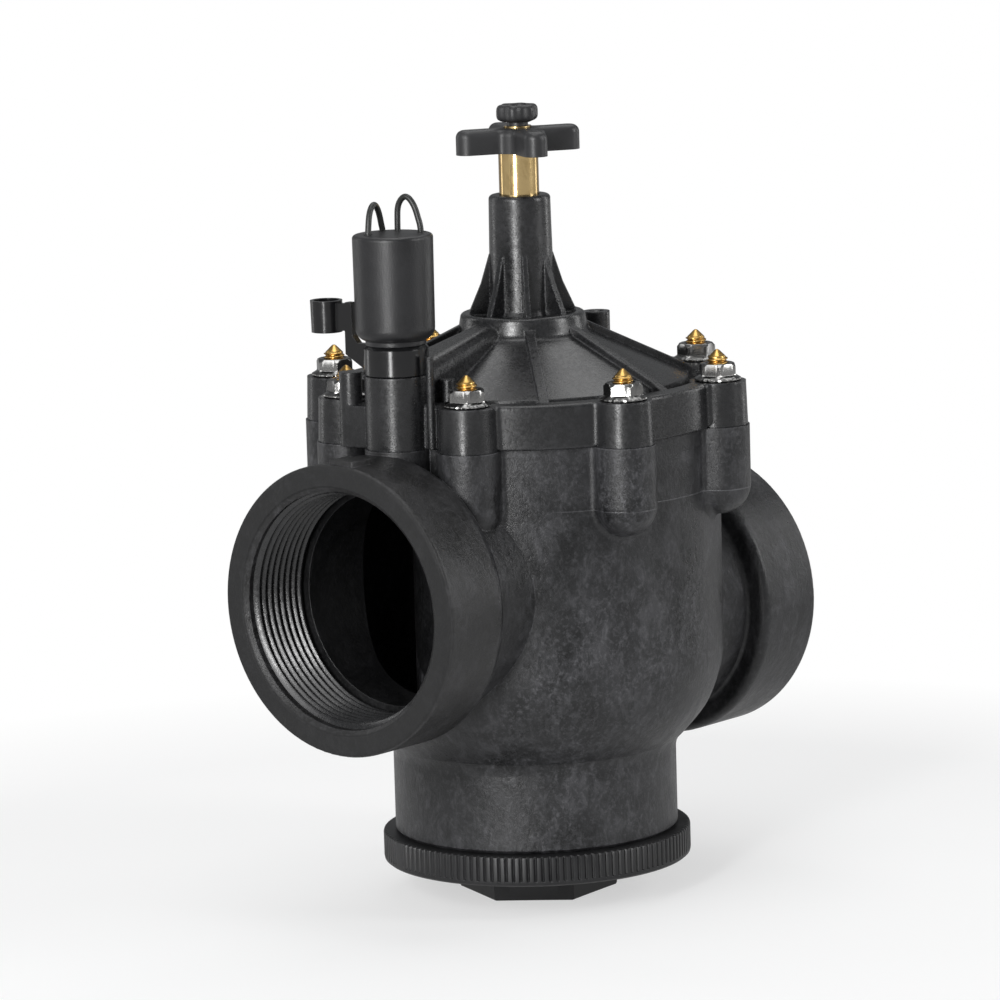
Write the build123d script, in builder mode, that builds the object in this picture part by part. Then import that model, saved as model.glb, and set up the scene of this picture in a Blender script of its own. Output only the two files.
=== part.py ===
from build123d import *
import math
import os

os.makedirs("parts", exist_ok=True)

# ---------------------------------------------------------------------------
# Three inch irrigation diaphragm control valve, globe/angle pattern, with a
# pilot solenoid, a manual bleed lever, a cross-handled flow control and a
# bleed screw. Millimetres, +Z up along the stem, +X in the direction of flow.
# Origin: centre of the lower hex face of the bottom plug.
# ---------------------------------------------------------------------------

# heights of the main planes
Z_NECK = 24.2          # lower end face of the bottom port
Z_OUT = 124.0          # outlet axis
Z_IN = 100.0           # inlet axis
Z_SEAT = 162.0         # main seat
Z_SPLIT = 179.3        # joint face between body and bonnet
Z_FLANGE = 195.8       # top of the bonnet flange, nut seating face

# ports
OUT_X = 112.25         # outlet face
OUT_NECK_R = 47.0       # neck between the barrel and the outlet socket
IN_X = -108.9          # inlet face
PORT_R = 54.0          # port outer radius
THREAD_R = 44.1        # tapped wall of the three ports
THREAD_L = 31.0        # tapped length of the side ports
PORT_BORE = 40.0       # bore behind the outlet thread
TUBE_R = 44.0          # seat tube outside
TUBE_BORE = 38.0       # seat tube inside

# barrel
BARREL_R = 72.75
CHAMBER_R = 64.0
NECK_R = 53.7
RIM_R = 68.8           # recess for the diaphragm rim
RIM_T = 3.0

# cover bolting
BOLT_R = 75.0
BOLT_N = 8
BOLT_A0 = 22.5
STUD_R = 3.97          # 5/16 inch stud
STUD_TOP = 207.4
BODY_BOSS_R = 11.6
BONNET_BOSS_R = 10.8
NUT_AF = 12.7
NUT_FLANGE_R = 8.65

# bonnet
FLANGE_R = 75.0
HUB_R = 23.0
Z_HUB = 221.0
TOWER_TOP = 265.2
STEM_BORE = 7.58
STEM_R = 7.5

# pilot stack
SOL_X = 74.3
BASE_R = 12.0
Z_BASE = 206.4
COLLAR_R = 12.0
Z_COLLAR = 217.6
Z_COIL = 219.2
Z_COIL_TOP = 258.6
COIL_R = 14.85

# handle and knob
Z_HANDLE = 281.0
Z_HANDLE_TOP = 290.3
HANDLE_TIP = 24.2
HANDLE_ANGLE = 58.0
Z_KNOB = 292.3
Z_KNOB_TOP = 298.8


def rad(a):
    return math.radians(a)


def polar(r, a):
    return (r * math.cos(rad(a)), r * math.sin(rad(a)))


def finish(part, name):
    part.label = name
    export_step(part, "parts/" + name + ".step")


def sample(edge):
    return [edge.position_at(u) for u in (0.02, 0.25, 0.5, 0.75, 0.98)]


def x_values(edge):
    return [p.X for p in sample(edge)]


def lowest(edge):
    return min(p.Z for p in sample(edge))


def on_cylinder(edge, upright, centre, radius, tol):
    """True when an edge lies on the cylinder of this radius, upright or along X."""
    for p in sample(edge):
        x, y, z = p.X - centre[0], p.Y - centre[1], p.Z - centre[2]
        d = math.hypot(x, y) if upright else math.hypot(y, z)
        if abs(d - radius) > tol:
            return False
    return True


# ---------------------------------------------------------------------------
# Valve body: barrel, bowl, three ports, seat tube, eight stud bosses
# ---------------------------------------------------------------------------
with BuildPart() as valve_body:
    # barrel, bowl and bottom neck
    with BuildSketch(Plane.XZ):
        with BuildLine():
            Polyline((0, Z_NECK), (NECK_R - 1.2, Z_NECK), (NECK_R, Z_NECK + 1.2), (NECK_R, 53.6))
            ThreePointArc((NECK_R, 53.6), (54.05, 56.0), (55.3, 58.4))
            Spline((55.3, 58.4), (60.9, 64.4), (65.3, 69.9), (68.65, 76.4), (70.9, 83.2), (BARREL_R, 95.0),
                   tangents=((0.62, 0.6), (0.0, 1)))
            Polyline((BARREL_R, 95.0), (BARREL_R, Z_SPLIT), (0, Z_SPLIT), (0, Z_NECK))
        make_face()
    revolve(axis=Axis.Z)
    # stud bosses, drop-shaped below
    with Locations((0, 0, 157.1)):
        with PolarLocations(BOLT_R, BOLT_N, start_angle=BOLT_A0):
            Cylinder(BODY_BOSS_R, Z_SPLIT - 157.1, align=(Align.CENTER, Align.CENTER, Align.MIN))
            Sphere(BODY_BOSS_R)
    # blend the bosses into the barrel
    boss_edges = [e for e in valve_body.edges()
                  if on_cylinder(e, True, (0, 0, 0), BARREL_R, 0.08) and lowest(e) > 144 and lowest(e) < 178]
    fillet(boss_edges, radius=2.4)
    # outlet socket
    with BuildSketch(Plane.XZ):
        with BuildLine():
            Polyline((20, Z_OUT), (OUT_X, Z_OUT), (OUT_X, Z_OUT + PORT_R - 1.8))
            ThreePointArc((OUT_X, Z_OUT + PORT_R - 1.8), (OUT_X - 0.53, Z_OUT + PORT_R - 0.53), (OUT_X - 1.8, Z_OUT + PORT_R))
            Polyline((OUT_X - 1.8, Z_OUT + PORT_R), (84.5, Z_OUT + PORT_R))
            ThreePointArc((84.5, Z_OUT + PORT_R), (81.0, Z_OUT + PORT_R - 1.5), (78.6, Z_OUT + PORT_R - 4.4))
            ThreePointArc((78.6, Z_OUT + PORT_R - 4.4), (77.0, Z_OUT + OUT_NECK_R + 0.7), (74.6, Z_OUT + OUT_NECK_R))
            Polyline((74.6, Z_OUT + OUT_NECK_R), (20, Z_OUT + OUT_NECK_R), (20, Z_OUT))
        make_face()
    revolve(axis=Axis((0, 0, Z_OUT), (1, 0, 0)))
    # inlet neck and socket
    with BuildSketch(Plane.XZ.offset(0)):
        with BuildLine():
            Polyline((IN_X, Z_IN), (IN_X, Z_IN + PORT_R - 1.8))
            ThreePointArc((IN_X, Z_IN + PORT_R - 1.8), (IN_X + 0.53, Z_IN + PORT_R - 0.53), (IN_X + 1.8, Z_IN + PORT_R))
            Polyline((IN_X + 1.8, Z_IN + PORT_R), (-80.2, Z_IN + PORT_R))
            ThreePointArc((-80.2, Z_IN + PORT_R), (-77.4, Z_IN + PORT_R - 1.15), (-76.3, Z_IN + PORT_R - 3.9))
            Polyline((-76.3, Z_IN + PORT_R - 3.9), (-76.1, Z_IN + 47.4))
            ThreePointArc((-76.1, Z_IN + 47.4), (-75.6, Z_IN + 46.1), (-74.6, Z_IN + 45.6))
            Polyline((-74.6, Z_IN + 45.6), (-20, Z_IN + 45.6), (-20, Z_IN), (IN_X, Z_IN))
        make_face()
    revolve(axis=Axis((0, 0, Z_IN), (1, 0, 0)))
    # blend the inlet neck into the barrel
    neck_edges = [e for e in valve_body.edges()
                  if on_cylinder(e, False, (0, 0, Z_IN), 45.6, 0.1) and -74 < max(x_values(e)) < -20]
    fillet(neck_edges, radius=1.4)
    # pad under the pilot base, carrying the vent passage
    with Locations((SOL_X, 0, 160.0)):
        Cylinder(BASE_R + 0.6, Z_SPLIT - 160.0, align=(Align.CENTER, Align.CENTER, Align.MIN))
    # plain raised pad on the top of the outlet socket
    with BuildSketch(Plane.XY.offset(Z_OUT + PORT_R + 1.5)):
        with Locations((105.2, 2.6)):
            RectangleRounded(10.8, 11.4, 0.8)
    extrude(amount=-5.0)
    # annular chamber
    with BuildSketch(Plane.XZ):
        with BuildLine():
            Polyline((0, 60.0), (44.0, 60.0))
            Spline((44.0, 60.0), (52.5, 67.5), (58.5, 76.0), (62.0, 84.5), (CHAMBER_R, 95.0),
                   tangents=((0.8, 0.5), (0.06, 1)))
            Polyline((CHAMBER_R, 95.0), (CHAMBER_R, Z_SPLIT - RIM_T), (RIM_R, Z_SPLIT - RIM_T),
                     (RIM_R, Z_SPLIT + 1), (0, Z_SPLIT + 1), (0, 60.0))
        make_face()
    revolve(axis=Axis.Z, mode=Mode.SUBTRACT)
    # seat tube, tapering to the seat lip
    with BuildSketch(Plane.XZ):
        with BuildLine():
            Polyline((0, 52.0), (46.0, 52.0), (TUBE_R, 64.0), (TUBE_R, Z_SEAT - 6.0), (41.5, Z_SEAT - 1.0))
            Polyline((41.5, Z_SEAT - 1.0), (41.1, Z_SEAT - 0.01), (40.1, Z_SEAT - 0.01), (39.6, Z_SEAT - 0.6),
                     (0, Z_SEAT - 0.6), (0, 52.0))
        make_face()
    revolve(axis=Axis.Z)
    # inlet duct crossing the annular chamber
    with BuildSketch(Plane.YZ.offset(-66.0)):
        with Locations((0, Z_IN)):
            Circle(45.6)
    extrude(amount=46.0)
    # seat tube bore and bottom port
    with BuildSketch(Plane.XY.offset(Z_NECK - 1)):
        Circle(TUBE_BORE)
    extrude(amount=Z_SEAT + 2 - Z_NECK, mode=Mode.SUBTRACT)
    with BuildSketch(Plane.XY.offset(Z_NECK)):
        Circle(THREAD_R)
    extrude(amount=29.0, mode=Mode.SUBTRACT)
    # inlet thread, chamfer and bore
    with BuildSketch(Plane.XZ):
        with BuildLine():
            Polyline((IN_X - 1, Z_IN), (IN_X - 1, Z_IN + 46.9), (IN_X, Z_IN + 46.3), (IN_X + 2.0, Z_IN + THREAD_R),
                     (IN_X + THREAD_L, Z_IN + THREAD_R), (IN_X + THREAD_L, Z_IN + TUBE_BORE + 0.4),
                     (-40.0, Z_IN + TUBE_BORE + 0.4), (-10.0, Z_IN + TUBE_BORE - 2.0), (-10.0, Z_IN), (IN_X - 1, Z_IN))
        make_face()
    revolve(axis=Axis((0, 0, Z_IN), (1, 0, 0)), mode=Mode.SUBTRACT)
    # outlet thread, chamfer and bore
    with BuildSketch(Plane.XZ):
        with BuildLine():
            Polyline((47.5, Z_OUT), (47.5, Z_OUT + PORT_BORE), (OUT_X - THREAD_L, Z_OUT + PORT_BORE),
                     (OUT_X - THREAD_L, Z_OUT + THREAD_R), (OUT_X - 2.0, Z_OUT + THREAD_R),
                     (OUT_X, Z_OUT + 46.3), (OUT_X + 1, Z_OUT + 46.9), (OUT_X + 1, Z_OUT), (47.5, Z_OUT))
        make_face()
    revolve(axis=Axis((0, 0, Z_OUT), (1, 0, 0)), mode=Mode.SUBTRACT)
    # stud holes
    with BuildSketch(Plane.XY.offset(Z_SPLIT)):
        with PolarLocations(BOLT_R, BOLT_N, start_angle=BOLT_A0):
            Circle(STUD_R + 0.02)
    extrude(amount=-21.6, mode=Mode.SUBTRACT)
    # vent passage from the pilot down into the outlet
    with BuildSketch(Plane.XY.offset(Z_SPLIT)):
        with Locations((SOL_X, 0)):
            Circle(1.6)
    extrude(amount=-20.0, mode=Mode.SUBTRACT)

finish(valve_body.part, "valve_body")

# ---------------------------------------------------------------------------
# Bonnet: flange, ribbed dome, hub, stem tower, pilot duct and pilot base
# ---------------------------------------------------------------------------
with BuildPart() as bonnet:
    with BuildSketch(Plane.XZ):
        with BuildLine():
            Polyline((0, Z_SPLIT), (FLANGE_R - 0.6, Z_SPLIT), (FLANGE_R, Z_SPLIT + 0.6), (FLANGE_R - 0.4, Z_FLANGE - 1.5))
            ThreePointArc((FLANGE_R - 0.4, Z_FLANGE - 1.5), (FLANGE_R - 0.9, Z_FLANGE - 0.4), (FLANGE_R - 2.0, Z_FLANGE))
            Polyline((FLANGE_R - 2.0, Z_FLANGE), (67.2, Z_FLANGE), (66.2, Z_FLANGE - 3.0), (62.6, Z_FLANGE - 3.0),
                     (61.4, 196.0), (26.5, 212.6))
            ThreePointArc((26.5, 212.6), (24.9, 213.8), (24.2, 215.6))
            Polyline((24.2, 215.6), (HUB_R + 0.5, Z_HUB - 1.5))
            ThreePointArc((HUB_R + 0.5, Z_HUB - 1.5), (HUB_R, Z_HUB - 0.5), (HUB_R - 1.1, Z_HUB))
            Polyline((HUB_R - 1.1, Z_HUB), (20.4, Z_HUB), (18.6, Z_HUB - 0.8), (12.9, Z_HUB - 0.8), (12.1, Z_HUB + 1.0),
                     (11.85, 247.0), (11.6, TOWER_TOP - 1.6))
            ThreePointArc((11.6, TOWER_TOP - 1.6), (11.1, TOWER_TOP - 0.5), (10.0, TOWER_TOP))
            Polyline((10.0, TOWER_TOP), (0, TOWER_TOP), (0, Z_SPLIT))
        make_face()
    revolve(axis=Axis.Z)
    # stud bosses on the flange
    with Locations((0, 0, Z_SPLIT)):
        with PolarLocations(BOLT_R, BOLT_N, start_angle=BOLT_A0):
            Cone(BONNET_BOSS_R + 0.25, BONNET_BOSS_R - 0.25, Z_FLANGE - Z_SPLIT,
                 align=(Align.CENTER, Align.CENTER, Align.MIN))
    # blend the bosses into the flange
    flange_edges = []
    for e in bonnet.edges():
        pts = sample(e)
        heights = [p.Z for p in pts]
        if all(74.0 < math.hypot(p.X, p.Y) < 75.2 for p in pts) and max(heights) - min(heights) > 10:
            if not all(abs(p.Y) < 0.01 for p in pts):
                flange_edges.append(e)
    fillet(flange_edges, radius=2.4)
    # gussets round the foot of the tower
    for k in range(8):
        with BuildSketch(Plane(origin=(0, 0, 0), x_dir=(math.cos(rad(45 * k)), math.sin(rad(45 * k)), 0),
                               z_dir=(math.sin(rad(45 * k)), -math.cos(rad(45 * k)), 0))):
            with BuildLine():
                Polyline((8.5, Z_HUB - 2), (20.2, Z_HUB - 2), (19.8, Z_HUB + 1.0), (15.4, 232.0), (12.0, 243.0), (8.5, 243.0),
                         (8.5, Z_HUB - 2))
            make_face()
        extrude(amount=1.15, both=True)
    # ribs down the dome, none where the pilot duct runs
    for k in range(1, 8):
        with BuildSketch(Plane(origin=(0, 0, 0), x_dir=(math.cos(rad(45 * k)), math.sin(rad(45 * k)), 0),
                               z_dir=(math.sin(rad(45 * k)), -math.cos(rad(45 * k)), 0))):
            with BuildLine():
                Polyline((20.0, 208.0), (20.0, 216.8), (24.0, 216.6), (62.0, 198.4), (66.6, 195.4), (66.6, 190.0), (60.0, 190.0),
                         (20.0, 208.0))
            make_face()
        extrude(amount=1.8, both=True)
    # pilot duct, a rounded ridge from the hub to the pilot base
    with BuildSketch(Plane.YZ.offset(14.0)):
        with Locations((0, 210.2)):
            RectangleRounded(12.5, 20.0, 4.5)
    with BuildSketch(Plane.YZ.offset(68.0)):
        with Locations((0, 199.6)):
            RectangleRounded(22.5, 20.0, 7.0)
    loft()
    # pilot base, overhanging the flange
    with Locations((SOL_X, 0, Z_SPLIT)):
        Cylinder(BASE_R, Z_BASE - Z_SPLIT, align=(Align.CENTER, Align.CENTER, Align.MIN))
    # half-round column under the lever, webbed back to the base
    with Locations((SOL_X + 4.0, -19.0, Z_SPLIT)):
        Cylinder(4.25, 27.4, align=(Align.CENTER, Align.CENTER, Align.MIN))
    with BuildSketch(Plane.XY.offset(Z_SPLIT)):
        with BuildLine():
            Polyline((SOL_X - 12, -19.0), (SOL_X + 4, -23.2), (SOL_X + 8.2, -19.0), (SOL_X + 7.0, -8.0), (SOL_X - 8.0, -5.0),
                     close=True)
        make_face()
    extrude(amount=15.5)
    # stop post beside the collar and the small boss next to it
    with Locations((74.0, 15.5, Z_SPLIT + 0.6)):
        Cylinder(1.5, 213.9 - Z_SPLIT - 0.6, align=(Align.CENTER, Align.CENTER, Align.MIN))
    with Locations((62.0, 14.0, Z_SPLIT)):
        Cylinder(2.7, 204.0 - Z_SPLIT, align=(Align.CENTER, Align.CENTER, Align.MIN))
    # blind boss on the far side of the dome
    with Locations((-44.6, 0, 196.0)):
        Cylinder(5.2, 19.8, align=(Align.CENTER, Align.CENTER, Align.MIN))
    with Locations((-44.6, 0, 214.2)):
        Cone(1.2, 3.2, 1.7, align=(Align.CENTER, Align.CENTER, Align.MIN), mode=Mode.SUBTRACT)
    # clearance round the turning collar, above the base
    with Locations((SOL_X, 0, Z_BASE)):
        Cylinder(COLLAR_R + 0.12, 30, align=(Align.CENTER, Align.CENTER, Align.MIN), mode=Mode.SUBTRACT)
    # control chamber under the dome, spring seat and washer pocket
    with BuildSketch(Plane.XZ):
        with BuildLine():
            Polyline((0, Z_SPLIT - 1), (61.5, Z_SPLIT - 1), (62.5, Z_SPLIT + 1.5), (60.0, 188.2), (28.0, 204.0))
            ThreePointArc((28.0, 204.0), (26.8, 205.1), (25.0, 205.5))
            Polyline((25.0, 205.5), (12.5, 205.5), (12.5, 217.5), (0, 217.5), (0, Z_SPLIT - 1))
        make_face()
    revolve(axis=Axis.Z, mode=Mode.SUBTRACT)
    # stem bore
    with BuildSketch(Plane.XY.offset(TOWER_TOP + 1)):
        Circle(STEM_BORE)
    extrude(amount=-60, mode=Mode.SUBTRACT)
    # stud clearance holes
    with BuildSketch(Plane.XY.offset(Z_SPLIT - 1)):
        with PolarLocations(BOLT_R, BOLT_N, start_angle=BOLT_A0):
            Circle(4.35)
    extrude(amount=60, mode=Mode.SUBTRACT)
    # pilot chamber, seat pocket and vent
    with BuildSketch(Plane.XZ):
        with BuildLine():
            Polyline((SOL_X, Z_SPLIT - 1), (SOL_X + 1.6, Z_SPLIT - 1), (SOL_X + 1.6, 184.0), (SOL_X + 3.5, 184.0),
                     (SOL_X + 3.5, 193.0), (SOL_X + 8.38, 193.0), (SOL_X + 8.38, Z_BASE + 1), (SOL_X, Z_BASE + 1), close=True)
        make_face()
    revolve(axis=Axis((SOL_X, 0, 0), (0, 0, 1)), mode=Mode.SUBTRACT)
    # supply passage to the pilot with the filter pocket
    with BuildSketch(Plane.YZ.offset(34.0)):
        with Locations((0, 195.8)):
            Circle(3.02)
    extrude(amount=18.0, mode=Mode.SUBTRACT)
    with BuildSketch(Plane.YZ.offset(50.0)):
        with Locations((0, 195.8)):
            Circle(1.6)
    extrude(amount=17.5, mode=Mode.SUBTRACT)

finish(bonnet.part, "bonnet")

# ---------------------------------------------------------------------------
# Cover bolting
# ---------------------------------------------------------------------------
with BuildPart() as cover_studs:
    with BuildSketch(Plane.XY.offset(158.0)):
        with PolarLocations(BOLT_R, BOLT_N, start_angle=BOLT_A0):
            Circle(STUD_R)
    extrude(amount=STUD_TOP - 3.6 - 158.0)
    with Locations((0, 0, STUD_TOP - 3.6)):
        with PolarLocations(BOLT_R, BOLT_N, start_angle=BOLT_A0):
            Cone(STUD_R, 0.9, 3.6, align=(Align.CENTER, Align.CENTER, Align.MIN))
finish(cover_studs.part, "cover_studs")

with BuildPart() as flange_nuts:
    with BuildSketch(Plane.XY.offset(Z_FLANGE)):
        with PolarLocations(BOLT_R, BOLT_N, start_angle=BOLT_A0):
            Circle(NUT_FLANGE_R)
    extrude(amount=1.0)
    with Locations((0, 0, Z_FLANGE + 1.0)):
        with PolarLocations(BOLT_R, BOLT_N, start_angle=BOLT_A0):
            Cone(NUT_FLANGE_R, 6.7, 1.4, align=(Align.CENTER, Align.CENTER, Align.MIN))
    with BuildSketch(Plane.XY.offset(Z_FLANGE)):
        with PolarLocations(BOLT_R, BOLT_N, start_angle=BOLT_A0):
            RegularPolygon(NUT_AF / 2, 6, major_radius=False)
    extrude(amount=7.0)
    with BuildSketch(Plane.XY.offset(Z_FLANGE - 1)):
        with PolarLocations(BOLT_R, BOLT_N, start_angle=BOLT_A0):
            Circle(STUD_R + 0.02)
    extrude(amount=10, mode=Mode.SUBTRACT)
finish(flange_nuts.part, "flange_nuts")

# ---------------------------------------------------------------------------
# Bottom plug and its seal
# ---------------------------------------------------------------------------
with BuildPart() as bottom_plug:
    with BuildSketch(Plane.XY):
        RegularPolygon(26.0, 6, major_radius=False, rotation=35.0)
    extrude(amount=13.0)
    with BuildSketch(Plane.XZ):
        with BuildLine():
            Polyline((0, 12.6), (57.2, 12.6), (58.4, 13.8), (58.4, 23.0), (57.4, 24.1), (50.9, 24.1), (50.9, 21.3), (47.3, 21.3),
                     (47.3, 24.1), (THREAD_R - 0.06, 24.1), (THREAD_R - 0.06, 50.0), (THREAD_R - 1.5, 52.0), (37.0, 52.0),
                     (37.0, 22.0), (0, 22.0), (0, 12.6))
        make_face()
    revolve(axis=Axis.Z)
finish(bottom_plug.part, "bottom_plug")

with BuildPart() as plug_seal:
    with Locations((0, 0, 22.8)):
        Torus(49.1, 1.4)
finish(plug_seal.part, "plug_seal")

# ---------------------------------------------------------------------------
# Diaphragm stack, drawn closed on the seat
# ---------------------------------------------------------------------------
with BuildPart() as diaphragm:
    with BuildSketch(Plane.XZ):
        with BuildLine():
            Polyline((4.1, 168.0), (44.0, 168.0))
            Spline((44.0, 168.0), (51.0, 168.2), (57.0, 172.6), (63.0, 176.3), tangents=((1, 0), (1, 0)))
            Polyline((63.0, 176.3), (RIM_R - 0.05, 176.3), (RIM_R - 0.05, Z_SPLIT - 0.02), (61.6, Z_SPLIT - 0.02))
            Spline((61.6, Z_SPLIT - 0.02), (55.4, 175.6), (50.0, 171.4), (44.0, 171.0), tangents=((-1, -0.15), (-1, 0)))
            Polyline((44.0, 171.0), (4.1, 171.0), (4.1, 168.0))
        make_face()
    revolve(axis=Axis.Z)
finish(diaphragm.part, "diaphragm")

with BuildPart() as diaphragm_plate:
    with BuildSketch(Plane.XZ):
        with BuildLine():
            Polyline((4.1, 171.0), (42.0, 171.0), (42.6, 172.0), (41.6, 173.0), (27.0, 173.5), (27.0, 175.6), (25.2, 175.6),
                     (24.4, 173.5), (4.1, 173.5), (4.1, 171.0))
        make_face()
    revolve(axis=Axis.Z)
finish(diaphragm_plate.part, "diaphragm_plate")

with BuildPart() as disc_holder:
    with BuildSketch(Plane.XZ):
        with BuildLine():
            Polyline((4.1, 163.5), (30.0, 163.5), (30.0, 166.2), (46.2, 166.2), (46.2, 163.2), (48.4, 163.2), (48.4, 165.6),
                     (43.8, 167.95), (4.1, 167.95), (4.1, 163.5))
        make_face()
    revolve(axis=Axis.Z)
finish(disc_holder.part, "disc_holder")

with BuildPart() as seat_disc:
    with BuildSketch(Plane.XZ):
        with BuildLine():
            Polyline((30.05, Z_SEAT), (46.1, Z_SEAT), (46.1, 166.2), (30.05, 166.2), close=True)
        make_face()
    revolve(axis=Axis.Z)
finish(seat_disc.part, "seat_disc")

with BuildPart() as disc_retainer:
    with BuildSketch(Plane.XZ):
        with BuildLine():
            Polyline((4.1, 159.0), (34.0, 159.0), (36.4, 160.4), (36.4, Z_SEAT), (29.0, Z_SEAT), (29.0, 163.5), (4.1, 163.5),
                     close=True)
        make_face()
    revolve(axis=Axis.Z)
    with BuildSketch(Plane.XY.offset(159.5)):
        with PolarLocations(26.0, 4, start_angle=45):
            Rectangle(21.0, 2.6)
    extrude(amount=-20.0)
finish(disc_retainer.part, "disc_retainer")

with BuildPart() as diaphragm_bolt:
    with BuildSketch(Plane.XY.offset(155.0)):
        RegularPolygon(6.5, 6, major_radius=False)
    extrude(amount=4.0)
    with BuildSketch(Plane.XY.offset(159.0)):
        Circle(4.0)
    extrude(amount=19.0)
finish(diaphragm_bolt.part, "diaphragm_bolt")

with BuildPart() as diaphragm_nut:
    with BuildSketch(Plane.XY.offset(173.5)):
        RegularPolygon(6.5, 6, major_radius=False)
        Circle(4.02, mode=Mode.SUBTRACT)
    extrude(amount=4.6)
finish(diaphragm_nut.part, "diaphragm_nut")

with BuildPart() as main_spring:
    with BuildLine():
        Helix(pitch=6.9, height=28.6, radius=20.2, center=(0, 0, 175.2))
    with BuildSketch(Plane(origin=(20.2, 0, 175.2), z_dir=(0, 1, 0.054))):
        Circle(1.5)
    sweep(is_frenet=True)
finish(main_spring.part, "main_spring")

# ---------------------------------------------------------------------------
# Flow control: stem, seals, thrust washer, clip, cross handle
# ---------------------------------------------------------------------------
with BuildPart() as flow_stem:
    with BuildSketch(Plane.XZ):
        with BuildLine():
            Polyline((1.5, 211.0), (5.0, 211.0), (5.0, 212.0), (4.2, 212.0), (4.2, 213.0), (5.0, 213.0), (5.0, 215.8),
                     (STEM_R, 215.8), (STEM_R, 243.0), (5.7, 243.0), (5.7, 245.0), (STEM_R, 245.0), (STEM_R, 249.0),
                     (5.7, 249.0), (5.7, 251.0), (STEM_R, 251.0), (STEM_R, Z_HANDLE), (5.2, Z_HANDLE), (5.2, 290.9),
                     (3.06, 290.9), (3.06, 268.0), (1.5, 267.0), (1.5, 211.0))
        make_face()
    revolve(axis=Axis.Z)
    with BuildSketch(Plane.XY.offset(Z_HANDLE)):
        Rectangle(9.0, 9.0, rotation=HANDLE_ANGLE)
        Circle(3.06, mode=Mode.SUBTRACT)
    extrude(amount=6.0)
finish(flow_stem.part, "flow_stem")

with BuildPart() as stem_o_rings:
    with Locations((0, 0, 244.0), (0, 0, 250.0)):
        Torus(6.62, 0.9)
finish(stem_o_rings.part, "stem_o_rings")

with BuildPart() as stem_thrust_washer:
    with BuildSketch(Plane.XY.offset(213.1)):
        Circle(11.4)
        Circle(5.06, mode=Mode.SUBTRACT)
    extrude(amount=2.6)
finish(stem_thrust_washer.part, "stem_thrust_washer")

with BuildPart() as stem_clip:
    with BuildSketch(Plane.XY.offset(212.05)):
        Circle(7.6)
        Circle(4.25, mode=Mode.SUBTRACT)
        with Locations((6.0, 0)):
            Rectangle(8.0, 5.0, mode=Mode.SUBTRACT)
    extrude(amount=0.9)
finish(stem_clip.part, "stem_clip")

with BuildPart() as cross_handle:
    with BuildSketch(Plane.XY.offset(Z_HANDLE)) as handle_plan:
        with PolarLocations(0, 2, start_angle=HANDLE_ANGLE, angular_range=180):
            SlotOverall(2 * HANDLE_TIP, 9.0)
        Circle(9.2)
        fillet([v for v in handle_plan.vertices() if math.hypot(v.X, v.Y) < 9.6], radius=3.0)
    extrude(amount=Z_HANDLE_TOP - Z_HANDLE)
    fillet(cross_handle.faces().sort_by(Axis.Z)[-1].edges(), radius=2.9)
    with BuildSketch(Plane.XY.offset(Z_HANDLE)):
        Rectangle(9.1, 9.1, rotation=HANDLE_ANGLE)
    extrude(amount=6.05, mode=Mode.SUBTRACT)
    with BuildSketch(Plane.XY.offset(Z_HANDLE)):
        Circle(5.3)
    extrude(amount=12, mode=Mode.SUBTRACT)
finish(cross_handle.part, "cross_handle")

# ---------------------------------------------------------------------------
# Bleed screw in the top of the stem
# ---------------------------------------------------------------------------
with BuildPart() as bleed_knob:
    with BuildSketch(Plane.XY.offset(Z_KNOB)):
        Circle(6.9)
        with PolarLocations(6.1, 6, start_angle=25):
            Circle(1.95)
    extrude(amount=Z_KNOB_TOP - Z_KNOB)
    with Locations((0, 0, Z_KNOB_TOP - 2.0)):
        Cylinder(4.6, 3.0, align=(Align.CENTER, Align.CENTER, Align.MIN), mode=Mode.SUBTRACT)
    with BuildSketch(Plane.XZ):
        with BuildLine():
            Polyline((0, 270.0), (1.0, 270.0), (3.0, 272.5), (3.0, 278.9), (2.0, 278.9), (2.0, 280.3), (3.0, 280.3), (3.0, 290.95),
                     (4.0, 290.95), (4.0, Z_KNOB + 1), (0, Z_KNOB + 1), (0, 270.0))
        make_face()
    revolve(axis=Axis.Z)
finish(bleed_knob.part, "bleed_knob")

with BuildPart() as bleed_o_ring:
    with Locations((0, 0, 279.6)):
        Torus(2.53, 0.5)
finish(bleed_o_ring.part, "bleed_o_ring")

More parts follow.
